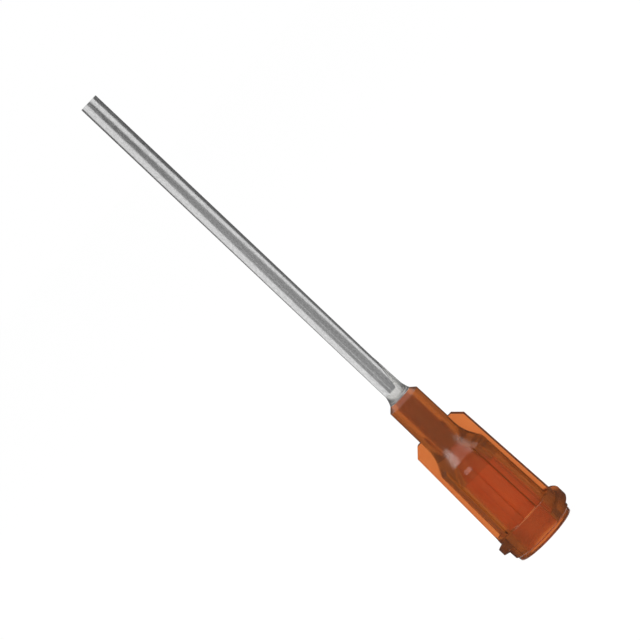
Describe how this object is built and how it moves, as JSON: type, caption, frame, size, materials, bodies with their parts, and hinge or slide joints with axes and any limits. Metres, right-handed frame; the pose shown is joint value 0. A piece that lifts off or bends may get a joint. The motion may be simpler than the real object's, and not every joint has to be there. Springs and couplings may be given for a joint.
{
  "type": "dispensing needle tip",
  "caption": "Blunt straight steel dispensing tube bonded into a moulded hub with a tapered socket, lock lugs, grip ribs and wings.",
  "frame": {"origin": "centre of the hub's open rim, which the part stands on", "axes": "+Z along the tube, from the hub's rim to the needle's tip; +X through the middle of one wing and of one lock lug"},
  "size_m": [0.0078, 0.0066, 0.0562],
  "materials": {
    "hub_plastic": "translucent amber polypropylene, smooth moulded surface",
    "tube_steel": "drawn stainless steel with fine marks along the tube",
    "clear_adhesive": "clear cured adhesive, glossy"
  },
  "bodies": {
    "root": {"hub": "hub_plastic", "needle_tube": "tube_steel", "adhesive_fillet": "clear_adhesive"}
  },
  "joints": []
}
